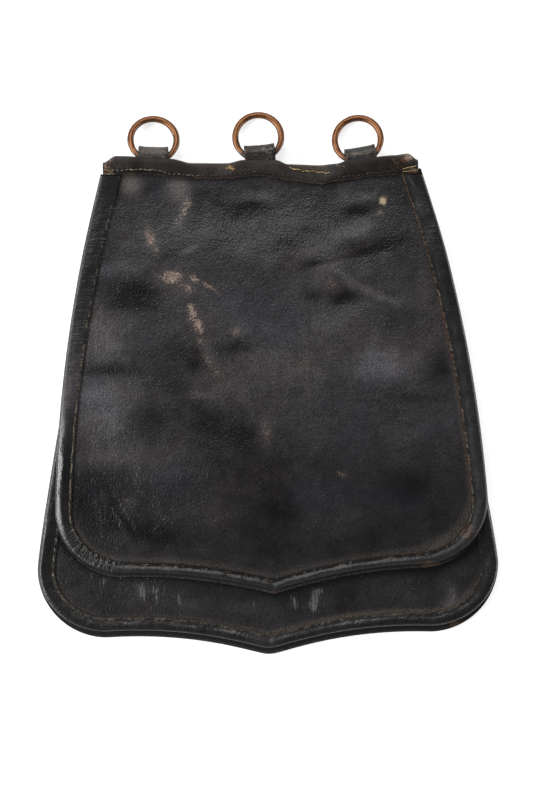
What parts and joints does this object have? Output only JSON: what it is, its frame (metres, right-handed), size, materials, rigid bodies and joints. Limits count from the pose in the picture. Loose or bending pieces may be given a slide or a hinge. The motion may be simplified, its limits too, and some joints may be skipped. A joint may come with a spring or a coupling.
{
  "type": "sabretache",
  "caption": "Flat shield-shaped leather pouch with a bound front flap, hung from rings in leather loops along a folded, stitched top band.",
  "frame": {"origin": "middle of the overall box in X and Y, on the surface that the bag lies on", "axes": "+X to the right of the flap, +Y from the tip towards the rings, +Z out of the flap, away from the surface"},
  "size_m": [0.3058, 0.36, 0.0205],
  "materials": {
    "black_leather": "worn, waxed black",
    "edge_leather": "rolled black binding, rubbed brown in places",
    "band_leather": "black band with brown worn ends and raw edges",
    "loop_leather": "dull olive-black strap",
    "ring_copper": "copper-coloured wire, worn bright with dark tarnish"
  },
  "bodies": {
    "bag": {"pouch_back": "black_leather", "pouch_front": "black_leather", "pouch_binding": "edge_leather", "flap_lining": "black_leather", "flap_panel": "black_leather", "flap_binding": "edge_leather", "top_band": "band_leather", "ring_loop_left": "loop_leather", "ring_loop_centre": "loop_leather", "ring_loop_right": "loop_leather"},
    "left_ring": {"ring_left": "ring_copper"},
    "centre_ring": {"ring_centre": "ring_copper"},
    "right_ring": {"ring_right": "ring_copper"}
  },
  "joints": [
    {"name": "left_ring_swing", "type": "hinge", "parent": "bag", "child": "left_ring", "pos_m": [-0.0706, 0.1498, 0.0109], "axis": [0.9958, -0.0348, -0.0848], "range_deg": [-85, 70]},
    {"name": "centre_ring_swing", "type": "hinge", "parent": "bag", "child": "centre_ring", "pos_m": [-0.0003, 0.1503, 0.0073], "axis": [0.9975, 0.0698, -0.0066], "range_deg": [-85, 70]},
    {"name": "right_ring_swing", "type": "hinge", "parent": "bag", "child": "right_ring", "pos_m": [0.0664, 0.1475, 0.009], "axis": [0.9855, 0.1561, 0.067], "range_deg": [-85, 70]}
  ]
}
